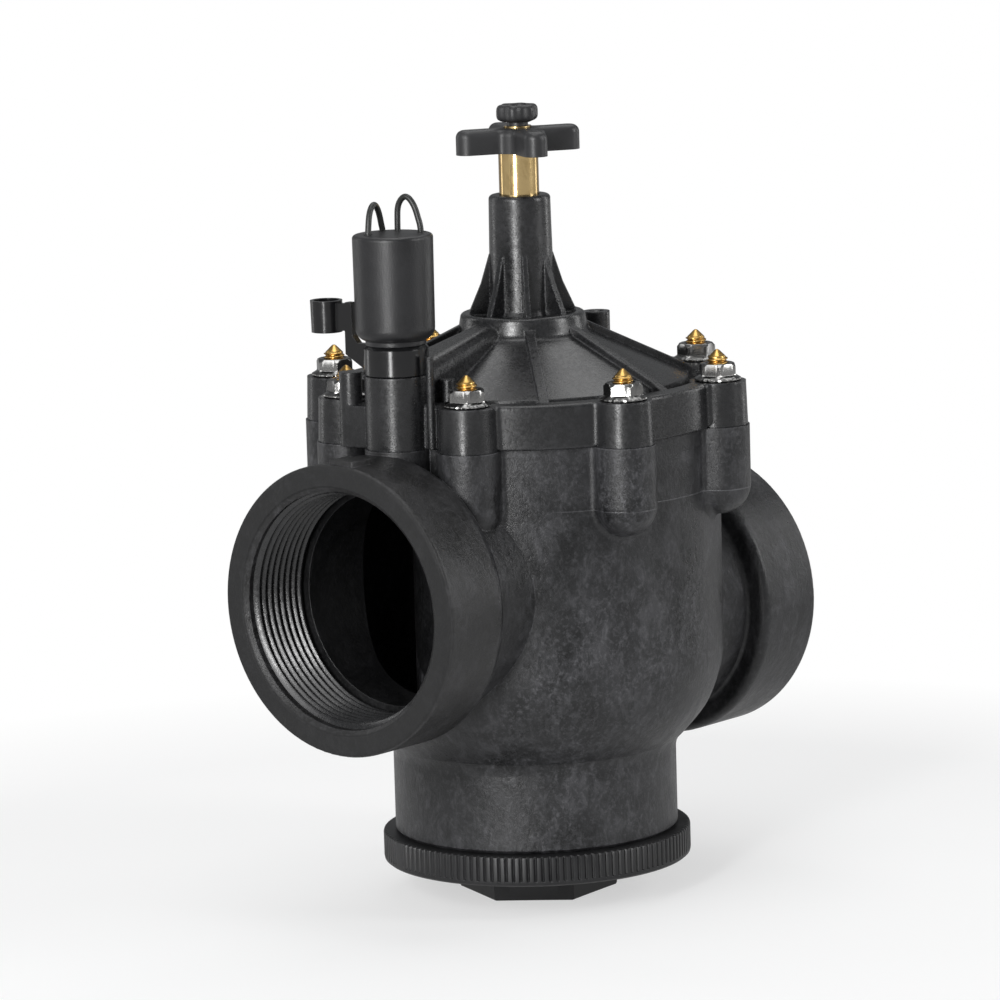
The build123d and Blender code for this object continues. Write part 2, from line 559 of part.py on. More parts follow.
# ---------------------------------------------------------------------------
# Bleed lever: turning collar with spigot, arm and finger pad
# ---------------------------------------------------------------------------
with BuildPart() as bleed_lever:
    with BuildSketch(Plane.XZ):
        with BuildLine():
            Polyline((SOL_X + 5.2, 199.0), (SOL_X + 8.3, 199.0), (SOL_X + 8.3, 201.6), (SOL_X + 6.7, 201.6),
                     (SOL_X + 6.7, 203.8), (SOL_X + 8.3, 203.8), (SOL_X + 8.3, Z_BASE + 0.1), (SOL_X + COLLAR_R - 0.5, Z_BASE + 0.1),
                     (SOL_X + COLLAR_R, Z_BASE + 0.6), (SOL_X + COLLAR_R - 0.1, Z_COLLAR - 1.2), (SOL_X + COLLAR_R - 1.2, Z_COLLAR),
                     (SOL_X + 6.05, Z_COLLAR), (SOL_X + 6.05, 208.0), (SOL_X + 5.2, 208.0), close=True)
        make_face()
    revolve(axis=Axis((SOL_X, 0, 0), (0, 0, 1)))
    # radial web and upright arm
    with BuildSketch(Plane(origin=(SOL_X, 0, 0), x_dir=(0, -1, 0), z_dir=(-1, 0, 0))):
        with BuildLine():
            Polyline((9.0, Z_BASE + 0.2), (12.6, Z_BASE + 0.2), (23.2, 212.6), (23.2, 221.2), (28.5, 221.2), (28.5, 231.2),
                     (23.2, 231.2), (22.6, 231.9), (20.4, 231.9), (19.9, 231.2), (19.6, 219.6), (17.4, Z_COLLAR - 0.6), (9.0, Z_COLLAR - 0.9),
                     (9.0, Z_BASE + 0.2))
        make_face()
    extrude(amount=1.4, both=True)
    # finger pad with a hollow top
    with Locations((SOL_X, -33.0, 220.2)):
        Cone(5.75, 6.0, 11.8, align=(Align.CENTER, Align.CENTER, Align.MIN))
    with Locations((SOL_X, -33.0, 229.0)):
        Cylinder(4.7, 4.0, align=(Align.CENTER, Align.CENTER, Align.MIN), mode=Mode.SUBTRACT)
    # keep the centre bore open
    with Locations((SOL_X, 0, 198.0)):
        Cylinder(5.2, 25.0, align=(Align.CENTER, Align.CENTER, Align.MIN), mode=Mode.SUBTRACT)
    with Locations((SOL_X, 0, 208.0)):
        Cylinder(6.05, 25.0, align=(Align.CENTER, Align.CENTER, Align.MIN), mode=Mode.SUBTRACT)
finish(bleed_lever.part, "bleed_lever")

with BuildPart() as lever_o_ring:
    with Locations((SOL_X, 0, 202.7)):
        Torus(7.52, 0.8)
finish(lever_o_ring.part, "lever_o_ring")

# ---------------------------------------------------------------------------
# Solenoid
# ---------------------------------------------------------------------------
LAT = (-0.632, 0.775)   # direction across the stack along which the leads loop
DEP = (0.775, 0.632)


def lead_point(lat, dep, z):
    return (SOL_X + lat * LAT[0] + dep * DEP[0], lat * LAT[1] + dep * DEP[1], z)


LEADS = [
    [lead_point(-8.9, 3.0, 255.6), lead_point(-8.6, 2.4, 261.5), lead_point(-7.8, 0.2, 266.9), lead_point(-6.5, -2.9, 268.7),
     lead_point(-5.0, -6.0, 266.0), lead_point(-4.0, -8.0, 260.5), lead_point(-3.7, -8.6, 255.6)],
    [lead_point(1.8, -9.2, 255.6), lead_point(1.9, -9.2, 263.8), lead_point(2.9, -8.6, 269.0), lead_point(5.0, -7.3, 270.9),
     lead_point(7.5, -5.7, 268.8), lead_point(9.5, -4.3, 263.2), lead_point(10.4, -3.6, 255.6)],
]

with BuildPart() as solenoid_housing:
    with BuildSketch(Plane.XZ):
        with BuildLine():
            Polyline((SOL_X + 5.6, Z_COIL), (SOL_X + 9.05, Z_COIL), (SOL_X + 9.05, Z_COLLAR + 0.15), (SOL_X + 11.1, Z_COLLAR + 0.15),
                     (SOL_X + 11.1, Z_COIL + 0.2))
            ThreePointArc((SOL_X + 11.1, Z_COIL + 0.2), (SOL_X + 13.55, Z_COIL + 1.7), (SOL_X + 14.6, Z_COIL + 4.4))
            Polyline((SOL_X + 14.6, Z_COIL + 4.4), (SOL_X + COIL_R, Z_COIL_TOP - 1.7))
            ThreePointArc((SOL_X + COIL_R, Z_COIL_TOP - 1.7), (SOL_X + COIL_R - 0.45, Z_COIL_TOP - 0.75),
                          (SOL_X + COIL_R - 1.5, Z_COIL_TOP - 0.35))
            Polyline((SOL_X + COIL_R - 1.5, Z_COIL_TOP - 0.35), (SOL_X + 8.0, Z_COIL_TOP - 0.1), (SOL_X + 3.0, Z_COIL_TOP),
                     (SOL_X, Z_COIL_TOP), (SOL_X, 253.6), (SOL_X + 13.0, 253.6), (SOL_X + 13.0, 222.2), (SOL_X + 5.6, 222.2),
                     (SOL_X + 5.6, Z_COIL))
        make_face()
    revolve(axis=Axis((SOL_X, 0, 0), (0, 0, 1)))
    for pts in LEADS:
        for p in (pts[0], pts[-1]):
            with Locations((p[0], p[1], 255.2)):
                Cylinder(1.7, 6.0, align=(Align.CENTER, Align.CENTER, Align.MIN), mode=Mode.SUBTRACT)
finish(solenoid_housing.part, "solenoid_housing")

with BuildPart() as lead_wires:
    for pts in LEADS:
        with BuildLine():
            Spline(*pts, tangents=((0, 0, 1), (0, 0, -1)))
        with BuildSketch(Plane(origin=pts[0], z_dir=(0, 0, 1))):
            Circle(1.12)
        sweep()
finish(lead_wires.part, "lead_wires")

with BuildPart() as coil_yoke:
    with BuildSketch(Plane.XY.offset(222.4)):
        with Locations((SOL_X, 0)):
            Circle(12.9)
            Circle(12.0, mode=Mode.SUBTRACT)
    extrude(amount=30.8)
finish(coil_yoke.part, "coil_yoke")

with BuildPart() as coil_bobbin:
    with BuildSketch(Plane.XZ):
        with BuildLine():
            Polyline((SOL_X + 5.6, 222.6), (SOL_X + 11.8, 222.6), (SOL_X + 11.8, 224.0), (SOL_X + 6.5, 224.0),
                     (SOL_X + 6.5, 250.6), (SOL_X + 11.8, 250.6), (SOL_X + 11.8, 252.0), (SOL_X + 5.6, 252.0), close=True)
        make_face()
    revolve(axis=Axis((SOL_X, 0, 0), (0, 0, 1)))
finish(coil_bobbin.part, "coil_bobbin")

with BuildPart() as coil_winding:
    with BuildSketch(Plane.XY.offset(224.1)):
        with Locations((SOL_X, 0)):
            Circle(11.4)
            Circle(6.6, mode=Mode.SUBTRACT)
    extrude(amount=26.4)
finish(coil_winding.part, "coil_winding")

with BuildPart() as armature_tube:
    with BuildSketch(Plane.XZ):
        with BuildLine():
            Polyline((SOL_X + 4.45, 209.7), (SOL_X + 6.0, 209.7), (SOL_X + 6.0, Z_COLLAR + 0.05), (SOL_X + 9.0, Z_COLLAR + 0.05),
                     (SOL_X + 9.0, Z_COIL - 0.1), (SOL_X + 5.5, Z_COIL - 0.1), (SOL_X + 5.5, 252.6), (SOL_X, 252.6),
                     (SOL_X, 248.1), (SOL_X + 4.45, 248.1), (SOL_X + 4.45, 209.7))
        make_face()
    revolve(axis=Axis((SOL_X, 0, 0), (0, 0, 1)))
finish(armature_tube.part, "armature_tube")

with BuildPart() as fixed_core:
    with BuildSketch(Plane.XY.offset(235.0)):
        with Locations((SOL_X, 0)):
            Circle(4.42)
    extrude(amount=13.0)
finish(fixed_core.part, "fixed_core")

with BuildPart() as plunger:
    with BuildSketch(Plane.XY.offset(207.6)):
        with Locations((SOL_X, 0)):
            Circle(4.37)
    extrude(amount=24.4)
    with BuildSketch(Plane.XY.offset(207.6)):
        with Locations((SOL_X, 0)):
            Circle(2.65)
    extrude(amount=1.9, mode=Mode.SUBTRACT)
    with BuildSketch(Plane.XY.offset(224.0)):
        with Locations((SOL_X, 0)):
            Circle(2.75)
    extrude(amount=10, mode=Mode.SUBTRACT)
finish(plunger.part, "plunger")

with BuildPart() as plunger_seal:
    with BuildSketch(Plane.XY.offset(206.5)):
        with Locations((SOL_X, 0)):
            Circle(2.6)
    extrude(amount=3.0)
finish(plunger_seal.part, "plunger_seal")

with BuildPart() as plunger_spring:
    with BuildLine():
        Helix(pitch=1.7, height=10.3, radius=2.15, center=(SOL_X, 0, 224.35))
    with BuildSketch(Plane(origin=(SOL_X + 2.15, 0, 224.35), z_dir=(0, 1, 0.126))):
        Circle(0.3)
    sweep(is_frenet=True)
finish(plunger_spring.part, "plunger_spring")

with BuildPart() as solenoid_o_ring:
    with Locations((SOL_X, 0, 208.85)):
        Torus(5.3, 0.7)
finish(solenoid_o_ring.part, "solenoid_o_ring")

with BuildPart() as pilot_seat:
    with BuildSketch(Plane.XZ):
        with BuildLine():
            Polyline((SOL_X + 0.8, 184.0), (SOL_X + 3.48, 184.0), (SOL_X + 3.48, 198.0), (SOL_X + 2.8, 199.0), (SOL_X + 2.0, 205.6),
                     (SOL_X + 1.7, 206.5), (SOL_X + 0.8, 206.5), close=True)
        make_face()
    revolve(axis=Axis((SOL_X, 0, 0), (0, 0, 1)))
finish(pilot_seat.part, "pilot_seat")

with BuildPart() as pilot_filter:
    with BuildSketch(Plane.YZ.offset(45.0)):
        with Locations((0, 195.8)):
            Circle(3.0)
    extrude(amount=7.0)
    with BuildSketch(Plane.YZ.offset(46.5)):
        with Locations((0, 195.8)):
            Circle(2.2)
    extrude(amount=7.0, mode=Mode.SUBTRACT)
finish(pilot_filter.part, "pilot_filter")
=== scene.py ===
import math

import bmesh
import bpy
import numpy as np
from mathutils import Matrix, Vector


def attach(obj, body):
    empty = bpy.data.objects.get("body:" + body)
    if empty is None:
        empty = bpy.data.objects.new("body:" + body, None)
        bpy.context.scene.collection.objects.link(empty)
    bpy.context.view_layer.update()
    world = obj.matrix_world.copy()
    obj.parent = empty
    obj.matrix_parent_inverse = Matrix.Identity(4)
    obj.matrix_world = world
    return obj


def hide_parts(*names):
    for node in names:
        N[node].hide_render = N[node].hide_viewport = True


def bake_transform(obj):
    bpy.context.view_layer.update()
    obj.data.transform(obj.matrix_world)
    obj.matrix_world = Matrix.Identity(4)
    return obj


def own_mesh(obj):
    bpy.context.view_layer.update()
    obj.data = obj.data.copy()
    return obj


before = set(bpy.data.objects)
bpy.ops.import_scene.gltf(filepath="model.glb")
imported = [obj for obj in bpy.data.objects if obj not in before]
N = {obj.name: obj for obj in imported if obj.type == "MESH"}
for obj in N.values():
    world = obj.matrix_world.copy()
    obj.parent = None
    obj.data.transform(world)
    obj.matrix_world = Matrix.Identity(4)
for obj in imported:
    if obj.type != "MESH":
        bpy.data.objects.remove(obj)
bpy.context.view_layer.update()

MM = 0.001


# ---------------------------------------------------------------------------
# material helpers
# ---------------------------------------------------------------------------
class Tree:
    """Small helper round a material's node tree."""

    def __init__(self, name):
        self.mat = bpy.data.materials.new(name)
        self.mat.use_nodes = True
        self.nt = self.mat.node_tree
        self.nt.nodes.clear()
        self.out = self.n("ShaderNodeOutputMaterial")
        self.bsdf = self.n("ShaderNodeBsdfPrincipled")
        self.nt.links.new(self.bsdf.outputs[0], self.out.inputs[0])
        self.tc = self.n("ShaderNodeTexCoord")
        self.co = self.tc.outputs["Object"]

    def n(self, kind, **props):
        node = self.nt.nodes.new(kind)
        for k, v in props.items():
            setattr(node, k, v)
        return node

    def link(self, a, b):
        self.nt.links.new(a, b)

    def put(self, socket, value):
        if hasattr(value, "is_output") or isinstance(value, bpy.types.NodeSocket):
            self.nt.links.new(value, socket)
        else:
            socket.default_value = value

    def mapping(self, scale=(1, 1, 1), rot=(0, 0, 0), loc=(0, 0, 0), src=None):
        m = self.n("ShaderNodeMapping")
        self.link(src or self.co, m.inputs[0])
        m.inputs["Scale"].default_value = scale
        m.inputs["Rotation"].default_value = rot
        m.inputs["Location"].default_value = loc
        return m.outputs[0]

    def noise(self, scale, detail=4.0, rough=0.55, dist=0.0, src=None):
        t = self.n("ShaderNodeTexNoise")
        self.link(src or self.co, t.inputs["Vector"])
        t.inputs["Scale"].default_value = scale
        t.inputs["Detail"].default_value = detail
        t.inputs["Roughness"].default_value = rough
        t.inputs["Distortion"].default_value = dist
        return t.outputs["Fac"]

    def voronoi(self, scale, src=None, feature="F1", out="Distance"):
        t = self.n("ShaderNodeTexVoronoi", feature=feature)
        self.link(src or self.co, t.inputs["Vector"])
        t.inputs["Scale"].default_value = scale
        return t.outputs[out]

    def ramp(self, fac, lo, hi, a=0.0, b=1.0, clamp=True):
        m = self.n("ShaderNodeMapRange")
        m.clamp = clamp
        self.link(fac, m.inputs[0])
        m.inputs[1].default_value = lo
        m.inputs[2].default_value = hi
        m.inputs[3].default_value = a
        m.inputs[4].default_value = b
        return m.outputs[0]

    def math(self, op, a, b=0.0):
        m = self.n("ShaderNodeMath", operation=op)
        self.put(m.inputs[0], a)
        self.put(m.inputs[1], b)
        return m.outputs[0]

    def mix(self, fac, a, b):
        m = self.n("ShaderNodeMix", data_type="RGBA")
        self.put(m.inputs[0], fac)
        self.put(m.inputs[6], a)
        self.put(m.inputs[7], b)
        return m.outputs[2]

    def bump(self, height, strength, distance, normal=None):
        b = self.n("ShaderNodeBump")
        self.link(height, b.inputs["Height"])
        b.inputs["Strength"].default_value = strength
        b.inputs["Distance"].default_value = distance
        if normal is not None:
            self.link(normal, b.inputs["Normal"])
        return b.outputs[0]

    def bevel(self, radius):
        b = self.n("ShaderNodeBevel")
        b.samples = 4
        b.inputs["Radius"].default_value = radius
        return b.outputs[0]

    def edge(self, radius):
        """0 on flats, towards 1 at crisp edges."""
        b = self.bevel(radius)
        g = self.n("ShaderNodeNewGeometry")
        d = self.n("ShaderNodeVectorMath", operation="DOT_PRODUCT")
        self.link(b, d.inputs[0])
        self.link(g.outputs["Normal"], d.inputs[1])
        return self.ramp(d.outputs["Value"], 0.995, 0.80)


def c(v, a=1.0):
    return (v[0], v[1], v[2], a)


def gf_nylon(name, base=(0.0100, 0.0102, 0.0108), grey=(0.052, 0.052, 0.056), mottle=1.0, rough=(0.30, 0.50),
             bump=1.0, edge_r=0.0006, spec=0.5, scratches=1.0, swirl_rot=(0.35, 0.2, 0.5), seam_z=None, port_z=None):
    """Black glass-filled nylon: cloudy grey flow marks, fine fibre grain, pits and a few long scratches."""
    t = Tree(name)
    warp = t.noise(14.0, 3.0, 0.5)
    cloud = t.noise(34.0, 6.0, 0.62, 1.2)
    patch = t.noise(9.0, 4.0, 0.6, 0.6)
    flow = t.mapping(scale=(1.0, 1.0, 0.55), rot=swirl_rot)
    streak = t.noise(130.0, 5.0, 0.68, 0.8, src=flow)
    fibre = t.noise(300.0, 4.0, 0.70, 0.5, src=t.mapping(scale=(1.0, 1.0, 0.6), rot=(0.5, 0.3, 0.2)))
    grain = t.noise(640.0, 4.0, 0.78)
    m1 = t.ramp(cloud, 0.38, 0.68)
    m2 = t.ramp(streak, 0.50, 0.64)
    m3 = t.ramp(patch, 0.43, 0.60)
    gl = t.ramp(grain, 0.51, 0.64)
    fb = t.ramp(fibre, 0.51, 0.65)
    soft = t.math("ADD", t.math("MULTIPLY", m1, 0.18), t.math("MULTIPLY", m2, 0.20))
    speck = t.math("ADD", t.math("MULTIPLY", gl, 0.46), t.math("MULTIPLY", fb, 0.36))
    speck = t.math("MULTIPLY", speck, t.math("ADD", t.math("MULTIPLY", m3, 0.85), 0.30))
    grey_fac = t.math("MULTIPLY", t.math("ADD", soft, speck), mottle)
    # long thin scratches, here and there
    s1 = t.noise(60.0, 2.0, 0.5, 0.10, src=t.mapping(scale=(16.0, 16.0, 0.40), rot=(0.0, 0.62, 0.25)))
    s2 = t.noise(60.0, 2.0, 0.5, 0.10, src=t.mapping(scale=(0.45, 14.0, 14.0), rot=(0.15, 0.45, 0.1)))
    line = t.math("MAXIMUM", t.ramp(s1, 0.800, 0.812), t.ramp(s2, 0.805, 0.817))
    line = t.math("MULTIPLY", line, t.ramp(warp, 0.50, 0.62))
    edge = t.edge(edge_r * 1.6)
    worn = t.math("MULTIPLY", edge, t.ramp(t.noise(260.0, 3.0, 0.6), 0.42, 0.60))
    col = t.mix(grey_fac, c(base), c(grey))
    col = t.mix(t.math("MULTIPLY", line, 0.5 * scratches), col, c([g * 2.6 for g in grey]))
    col = t.mix(t.math("MULTIPLY", worn, 0.45), col, c([g * 2.0 for g in grey]))
    r = t.math("ADD", t.ramp(cloud, 0.3, 0.7, rough[0], rough[1]), t.math("MULTIPLY", t.math("SUBTRACT", grain, 0.5), 0.45))
    n = t.bevel(edge_r)
    n = t.bump(t.noise(46.0, 4.0, 0.5), 0.22 * bump, 0.0007, n)
    n = t.bump(streak, 0.30 * bump, 0.00022, n)
    n = t.bump(fibre, 0.50 * bump, 0.00028, n)
    n = t.bump(grain, 0.55 * bump, 0.00020, n)
    if seam_z is not None:
        sep = t.n("ShaderNodeSeparateXYZ")
        t.link(t.co, sep.inputs[0])
        seam = t.ramp(t.math("ABSOLUTE", t.math("SUBTRACT", sep.outputs[2], seam_z)), 0.00030, 0.00008)
        seam = t.math("MULTIPLY", seam, t.ramp(sep.outputs[0], 0.052, 0.046))
        seam = t.math("MULTIPLY", seam, t.ramp(sep.outputs[0], -0.074, -0.070))
        n = t.bump(seam, 0.7, 0.00012, n)
        col = t.mix(t.math("MULTIPLY", seam, t.ramp(cloud, 0.35, 0.6, 0.12, 0.5)), col, c([g * 1.6 for g in grey]))
    if port_z is not None:
        # the outlet socket is a little browner and painted darker as shade, its sawn end is rougher and painted darker
        # again as shade, and the bores inside the ports are painted nearly black as shade
        ps = t.n("ShaderNodeSeparateXYZ")
        t.link(t.co, ps.inputs[0])
        socket = t.ramp(ps.outputs[0], 0.0800, 0.0870)
        end = t.ramp(ps.outputs[0], 0.1114, 0.1119)
        dz = t.math("SUBTRACT", ps.outputs[2], t.ramp(ps.outputs[0], -0.001, 0.001, port_z[0], port_z[1]))
        rad = t.math("SQRT", t.math("ADD", t.math("MULTIPLY", ps.outputs[1], ps.outputs[1]), t.math("MULTIPLY", dz, dz)))
        bore_shade = t.ramp(rad, 0.0440, 0.0437)
        col = t.mix(t.math("MULTIPLY", socket, 0.52), col, c((base[0] * 1.10, base[1] * 1.0, base[2] * 0.85)))
        col = t.mix(t.math("MULTIPLY", end, 0.68), col, c([b * 0.7 for b in base]))
        col = t.mix(t.math("MULTIPLY", bore_shade, 0.85), col, c([b * 0.45 for b in base]))
        r = t.math("ADD", r, t.math("MULTIPLY", end, 0.34))
    t.put(t.bsdf.inputs["Base Color"], col)
    t.put(t.bsdf.inputs["Roughness"], r)
    t.bsdf.inputs["Specular IOR Level"].default_value = spec
    t.put(t.bsdf.inputs["Normal"], n)
    return t.mat


def satin_plastic(name, base, rough=(0.32, 0.44), grain=900.0, grain_bump=0.25, edge_r=0.0003, spec=0.5, coat=0.0, lines=False,
                  light=2.0):
    t = Tree(name)
    cloud = t.noise(60.0, 4.0, 0.6, 0.6)
    fine = t.noise(grain, 3.0, 0.65)
    edge = t.edge(edge_r * 2.5)
    wear = t.math("MULTIPLY", edge, t.ramp(t.noise(300.0, 3.0, 0.6), 0.46, 0.6))
    col = t.mix(t.math("MULTIPLY", t.ramp(cloud, 0.35, 0.7), 0.6), c(base), c([b * 1.7 for b in base]))
    col = t.mix(t.math("MULTIPLY", t.ramp(fine, 0.55, 0.75), 0.25), col, c([b * light for b in base]))
    col = t.mix(t.math("MULTIPLY", wear, 0.35), col, c([b * 3.0 + 0.01 for b in base]))
    t.put(t.bsdf.inputs["Base Color"], col)
    r = t.math("ADD", t.ramp(cloud, 0.3, 0.7, rough[0], rough[1]), t.math("MULTIPLY", fine, 0.06))
    t.put(t.bsdf.inputs["Roughness"], r)
    t.bsdf.inputs["Specular IOR Level"].default_value = spec
    t.bsdf.inputs["Coat Weight"].default_value = coat
    t.bsdf.inputs["Coat Roughness"].default_value = 0.06
    n = t.bevel(edge_r)
    n = t.bump(t.noise(90.0, 3.0), 0.12, 0.0004, n)
    n = t.bump(fine, grain_bump, 0.00008, n)
    if lines:
        ln = t.noise(500.0, 2.0, 0.5, 0.0, src=t.mapping(scale=(1, 1, 0.02)))
        n = t.bump(ln, 0.12, 0.00006, n)
    t.put(t.bsdf.inputs["Normal"], n)
    return t.mat


def turned_metal(name, base, dark, rough=(0.16, 0.3), pitch=2600.0, axis="Z", tarnish=0.5, bump=0.25, aniso=0.0, edge_on_shade=0.0):
    """Turned metal: fine rings round the turning axis, slight tarnish and smudges, and optionally painted shade where
    the surface is seen edge-on.
    """
    t = Tree(name)
    sc = {"Z": (6.0, 6.0, 1.0), "X": (1.0, 6.0, 6.0)}[axis]
    rings = t.noise(pitch, 2.0, 0.7, 0.0, src=t.mapping(scale=(0.004 * sc[0], 0.004 * sc[1], 1.0) if axis == "Z" else (1.0, 0.02, 0.02)))
    cloud = t.noise(130.0, 5.0, 0.6, 0.8)
    smear = t.noise(520.0, 3.0, 0.6, 0.5)
    edge = t.edge(0.0006)
    tar = t.math("MULTIPLY", t.ramp(cloud, 0.42, 0.72), tarnish)
    col = t.mix(tar, c(base), c(dark))
    col = t.mix(t.math("MULTIPLY", t.ramp(smear, 0.55, 0.75), 0.3), col, c([0.5 * (a + b) for a, b in zip(base, dark)]))
    col = t.mix(t.math("MULTIPLY", edge, 0.4), col, c([min(1.0, b * 1.12) for b in base]))
    if edge_on_shade:
        # painted shade: surfaces seen edge-on are darkened and browned in the colour, standing in for the dark edges of
        # a polished turned part
        lw = t.n("ShaderNodeLayerWeight")
        lw.inputs[0].default_value = 0.5
        col = t.mix(t.math("MULTIPLY", t.ramp(lw.outputs["Facing"], 0.28, 0.62), edge_on_shade), col, c([0.42 * d for d in dark]))
    t.put(t.bsdf.inputs["Base Color"], col)
    t.bsdf.inputs["Metallic"].default_value = 1.0
    r = t.math("ADD", t.ramp(cloud, 0.3, 0.7, rough[0], rough[1]), t.math("MULTIPLY", rings, 0.10))
    t.put(t.bsdf.inputs["Roughness"], r)
    t.bsdf.inputs["Anisotropic"].default_value = aniso
    n = t.bevel(0.0002)
    n = t.bump(rings, bump, 0.00006, n)
    n = t.bump(smear, 0.08, 0.0001, n)
    t.put(t.bsdf.inputs["Normal"], n)
    return t.mat


def rubber(name, base=(0.018, 0.018, 0.018)):
    t = Tree(name)
    cl = t.noise(120.0, 4.0)
    fine = t.noise(1200.0, 3.0, 0.7)
    t.put(t.bsdf.inputs["Base Color"], t.mix(t.ramp(cl, 0.35, 0.7), c(base), c([b * 1.9 for b in base])))
    t.put(t.bsdf.inputs["Roughness"], t.ramp(cl, 0.3, 0.7, 0.55, 0.75))
    t.put(t.bsdf.inputs["Normal"], t.bump(fine, 0.3, 0.0001, t.bevel(0.0003)))
    return t.mat


M_BODY = gf_nylon("gf_nylon_body", base=(0.0075, 0.0077, 0.0083), grey=(0.092, 0.092, 0.099), mottle=1.15, bump=1.3, seam_z=0.1558, port_z=(0.100, 0.124))
M_BONNET = gf_nylon("gf_nylon_bonnet", base=(0.0085, 0.0087, 0.0093), grey=(0.046, 0.046, 0.050), mottle=0.55, rough=(0.23, 0.33),
                    bump=0.38, scratches=0.4, swirl_rot=(0.1, 0.6, 0.3), edge_r=0.0009, spec=0.65)
M_THREAD = gf_nylon("gf_nylon_thread", base=(0.010, 0.010, 0.0108), grey=(0.030, 0.030, 0.032), mottle=0.6, rough=(0.20, 0.34), bump=0.4,
                    scratches=0.2, edge_r=0.0002, spec=0.7)
M_PLUG = satin_plastic("plug_plastic", (0.0085, 0.0085, 0.0092), rough=(0.34, 0.46), grain=700.0)
M_HANDLE = satin_plastic("handle_plastic", (0.021, 0.021, 0.022), rough=(0.30, 0.42), grain=1100.0, grain_bump=0.3)
M_LEVER = satin_plastic("lever_gloss", (0.0055, 0.0055, 0.006), rough=(0.12, 0.20), grain=600.0, grain_bump=0.05, spec=0.6, lines=True)
M_COIL = satin_plastic("coil_case", (0.0125, 0.0125, 0.0135), rough=(0.28, 0.40), grain=1700.0, grain_bump=0.9, light=3.4, edge_r=0.0005)
M_BRASS = turned_metal("brass_turned", (0.84, 0.62, 0.30), (0.50, 0.33, 0.12), rough=(0.09, 0.18), tarnish=0.5, edge_on_shade=0.85)
M_STUD = turned_metal("brass_stud", (0.74, 0.47, 0.15), (0.36, 0.19, 0.05), rough=(0.18, 0.30), tarnish=0.35, bump=0.15, edge_on_shade=0.7)
M_NUT = turned_metal("nut_bright", (0.38, 0.376, 0.366), (0.14, 0.14, 0.14), rough=(0.08, 0.17), tarnish=0.5, bump=0.08, edge_on_shade=0.75)
M_STEEL = turned_metal("stainless_turned", (0.60, 0.60, 0.60), (0.38, 0.38, 0.38), rough=(0.22, 0.36), tarnish=0.3)
M_NECK = turned_metal("tube_dark", (0.10, 0.10, 0.105), (0.04, 0.04, 0.042), rough=(0.35, 0.5), tarnish=0.4)
M_COPPER = turned_metal("copper_winding", (0.62, 0.27, 0.14), (0.40, 0.15, 0.07), rough=(0.25, 0.4), pitch=2200.0, bump=0.6)
M_RUBBER = rubber("rubber_black")
M_WIRE = satin_plastic("lead_insulation", (0.017, 0.018, 0.017), rough=(0.30, 0.42), grain=1300.0, grain_bump=0.25, light=2.2)
M_NYLON = satin_plastic("natural_nylon", (0.60, 0.59, 0.55), rough=(0.38, 0.5), grain=800.0, light=1.2)

NODE_MAT = {
    "valve_body": M_BODY, "bonnet": M_BONNET, "cover_studs": M_STUD, "flange_nuts": M_NUT, "bottom_plug": M_PLUG, "plug_seal": M_RUBBER,
    "diaphragm": M_RUBBER, "diaphragm_plate": M_STEEL, "disc_holder": M_NYLON, "seat_disc": M_RUBBER, "disc_retainer": M_NYLON,
    "diaphragm_bolt": M_STEEL, "diaphragm_nut": M_STEEL, "main_spring": M_STEEL, "flow_stem": M_BRASS, "stem_o_rings": M_RUBBER,
    "stem_thrust_washer": M_NYLON, "stem_clip": M_STEEL, "cross_handle": M_HANDLE, "bleed_knob": M_HANDLE, "bleed_o_ring": M_RUBBER,
    "bleed_lever": M_LEVER, "lever_o_ring": M_RUBBER, "solenoid_housing": M_COIL, "lead_wires": M_WIRE, "coil_yoke": M_STEEL,
    "coil_bobbin": M_NYLON, "coil_winding": M_COPPER, "armature_tube": M_NECK, "fixed_core": M_STEEL, "plunger": M_STEEL,
    "plunger_seal": M_RUBBER, "plunger_spring": M_STEEL, "solenoid_o_ring": M_RUBBER, "pilot_seat": M_BRASS, "pilot_filter": M_NYLON,
}
for name, obj in N.items():
    obj.data.materials.clear()
    obj.data.materials.append(NODE_MAT[name])


# ---------------------------------------------------------------------------
# mesh helpers
# ---------------------------------------------------------------------------
def new_object(name, verts, faces, mat, smooth=True, angle=None):
    me = bpy.data.meshes.new(name)
    me.from_pydata([tuple(v) for v in verts], [], [tuple(f) for f in faces])
    me.validate()
    me.materials.append(mat)
    ob = bpy.data.objects.new(name, me)
    bpy.context.scene.collection.objects.link(ob)
    bm = bmesh.new()
    bm.from_mesh(me)
    bmesh.ops.remove_doubles(bm, verts=bm.verts, dist=1e-7)
    bmesh.ops.recalc_face_normals(bm, faces=bm.faces)
    for f in bm.faces:
        f.smooth = smooth
    if angle is not None:
        for e in bm.edges:
            if len(e.link_faces) == 2 and e.calc_face_angle(0.0) > math.radians(angle):
                e.smooth = False
    bm.to_mesh(me)
    bm.free()
    return ob


def grid_faces(rows, cols, wrap=True, base=0):
    faces = []
    for i in range(rows - 1):
        for j in range(cols if wrap else cols - 1):
            k = (j + 1) % cols
            faces.append((base + i * cols + j, base + i * cols + k, base + (i + 1) * cols + k, base + (i + 1) * cols + j))
    return faces


# ---------------------------------------------------------------------------
# pipe threads in the two open ports: helical crests, 8 to the inch
# ---------------------------------------------------------------------------
PITCH = 25.4 / 8.0


